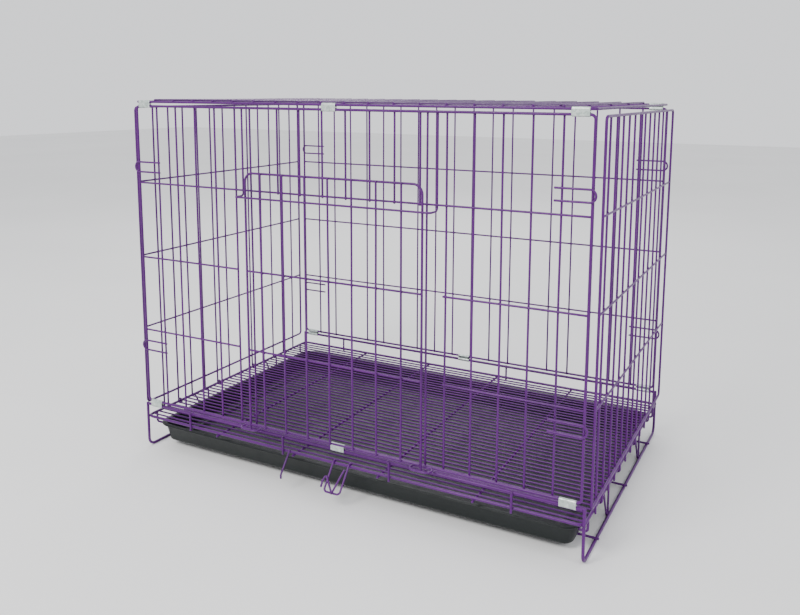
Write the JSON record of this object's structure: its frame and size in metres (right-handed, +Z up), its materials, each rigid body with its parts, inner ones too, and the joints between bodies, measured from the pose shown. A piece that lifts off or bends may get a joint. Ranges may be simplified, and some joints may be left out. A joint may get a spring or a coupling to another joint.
{
  "type": "wire dog crate",
  "caption": "Collapsible wire dog crate on short feet, with a lift-up door, slatted wire floor, slide-out tray and sheet-metal hinge clips.",
  "frame": {"origin": "on the ground, midway between the two long sides and the two short sides of the crate's frame", "axes": "+X to the crate's right along its length, +Y to its back, +Z up; the door is at -Y"},
  "size_m": [0.7768, 0.4974, 0.5918],
  "materials": {
    "powder_coat": "purple powder coat on steel wire, slight orange peel",
    "zinc_clip": "zinc-plated folded sheet, pale grey-green",
    "tray_plastic": "black moulded plastic, low gloss"
  },
  "bodies": {
    "base": {"base_ring": "powder_coat", "front_upper_rail": "powder_coat", "back_upper_rail": "powder_coat", "base_posts": "powder_coat", "floor_cross_wires": "powder_coat", "floor_slats": "powder_coat", "foot_cross_wires": "powder_coat", "side_struts": "powder_coat", "tray_hook": "powder_coat", "front_base_clips": "zinc_clip", "back_base_clips": "zinc_clip", "left_foot_frame": "powder_coat", "right_foot_frame": "powder_coat", "left_tray_runner": "powder_coat", "right_tray_runner": "powder_coat"},
    "front_panel": {"front_border": "powder_coat", "front_grille_top": "powder_coat", "front_grille_left": "powder_coat", "front_grille_right": "powder_coat", "front_snap_hooks": "powder_coat", "door_guide": "powder_coat", "door_sockets": "powder_coat"},
    "back_panel": {"back_border": "powder_coat", "back_grille": "powder_coat", "back_snap_hooks": "powder_coat"},
    "top_panel": {"top_border": "powder_coat", "top_grille": "powder_coat", "front_top_clips": "zinc_clip", "back_top_clips": "zinc_clip"},
    "left_side_panel": {"left_side_border": "powder_coat", "left_side_grille": "powder_coat"},
    "right_side_panel": {"right_side_border": "powder_coat", "right_side_grille": "powder_coat"},
    "door": {"door_frame": "powder_coat", "door_grille": "powder_coat"},
    "tray": {"tray": "tray_plastic"},
    "tray_catch": {"catch_bail": "powder_coat", "catch_tongue": "powder_coat"}
  },
  "joints": [
    {"name": "front_fold", "type": "hinge", "parent": "base", "child": "front_panel", "pos_m": [0, -0.23, 0.08425], "axis": [-1, 0, 0], "range_deg": [0, 87]},
    {"name": "top_fold", "type": "hinge", "parent": "front_panel", "child": "top_panel", "pos_m": [0, -0.23, 0.58025], "axis": [-1, 0, 0], "range_deg": [-87, 0]},
    {"name": "back_fold", "type": "hinge", "parent": "base", "child": "back_panel", "pos_m": [0, 0.23, 0.08425], "axis": [-1, 0, 0], "range_deg": [0, 87]},
    {"name": "left_side_fold", "type": "hinge", "parent": "base", "child": "left_side_panel", "pos_m": [-0.3795, 0, 0.055], "axis": [0, 1, 0], "range_deg": [0, 88.3]},
    {"name": "right_side_fold", "type": "hinge", "parent": "base", "child": "right_side_panel", "pos_m": [0.3795, 0, 0.055], "axis": [0, -1, 0], "range_deg": [0, 90]},
    {"name": "door_lift", "type": "slide", "parent": "front_panel", "child": "door", "axis": [0, 0, -1], "range_m": [-0.29, 0]},
    {"name": "tray_slide", "type": "slide", "parent": "base", "child": "tray", "axis": [0, -1, 0], "range_m": [-0.42, 0]},
    {"name": "catch_swing", "type": "hinge", "parent": "base", "child": "tray_catch", "pos_m": [0.012, -0.23, 0.055], "axis": [1, 0, 0], "range_deg": [-100, 0]}
  ],
  "couplings": [
    {"joint": "top_fold", "follows": "front_fold", "ratio": -1},
    {"joint": "back_fold", "follows": "front_fold", "ratio": 1}
  ]
}
